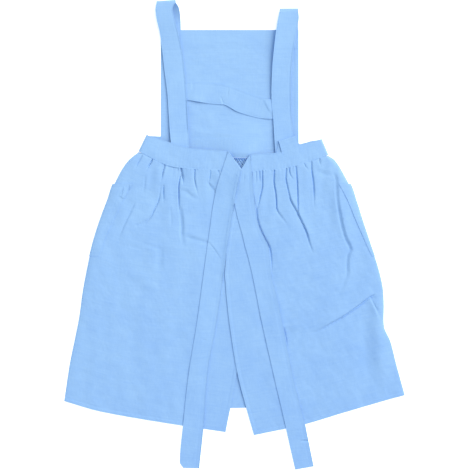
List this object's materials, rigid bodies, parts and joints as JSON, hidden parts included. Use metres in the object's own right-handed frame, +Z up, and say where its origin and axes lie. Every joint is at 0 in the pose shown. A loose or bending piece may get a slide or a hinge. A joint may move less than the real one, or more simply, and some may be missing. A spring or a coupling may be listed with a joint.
{
  "type": "pinafore apron",
  "caption": "Pale blue woven pinafore apron with shoulder straps, a strap across the back, waist ties, a gathered skirt and patch pockets, laid flat with its back up.",
  "frame": {"origin": "on the surface the apron lies on, under the middle of its box", "axes": "+Z up from the surface, +Y from the hem towards the bib and shoulder straps, +X to the right in the picture"},
  "size_m": [0.8508, 1.1721, 0.0178],
  "materials": {
    "linen": "plain weave, matt"
  },
  "bodies": {
    "root": {"bib": "linen", "waistband": "linen", "skirt_front": "linen", "skirt_back_left": "linen", "skirt_back_right": "linen", "shoulder_strap_left": "linen", "shoulder_strap_right": "linen", "cross_strap": "linen", "waist_tie_left": "linen", "waist_tie_right": "linen", "pocket_left": "linen", "pocket_right": "linen"}
  },
  "joints": []
}
